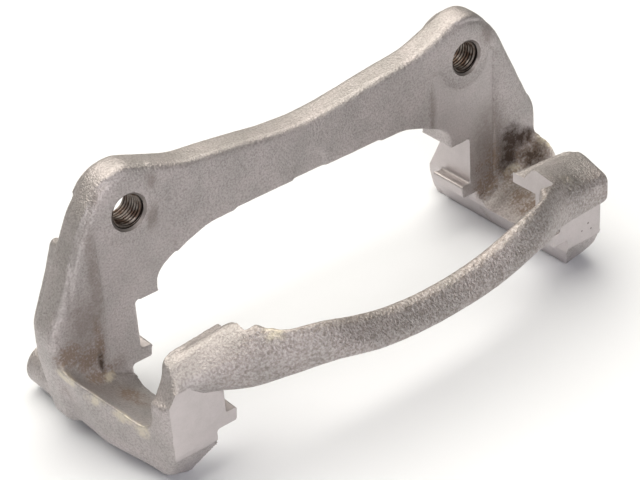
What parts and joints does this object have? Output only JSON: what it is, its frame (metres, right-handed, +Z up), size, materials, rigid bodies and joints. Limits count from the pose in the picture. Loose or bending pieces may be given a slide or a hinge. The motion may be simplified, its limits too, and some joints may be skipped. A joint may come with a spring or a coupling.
{
  "type": "brake caliper bracket",
  "caption": "Cast-iron floating-caliper carrier: a beam with threaded mounting ears, arms that straddle the brake disc, pad notches, guide-pin bosses and an outboard tie bar.",
  "frame": {"origin": "midway between the two threaded mounting holes, on the milled front face of the plate", "axes": "+X along the bracket from ear to ear, +Y inboard along the threaded holes (the bolts leave that way), +Z up from the beam past the ears; the tie bar is at -Y"},
  "size_m": [0.252, 0.1191, 0.1076],
  "materials": {
    "cast_iron": "blasted casting with machined faces"
  },
  "bodies": {
    "root": {"bracket_casting": "cast_iron"}
  },
  "joints": []
}
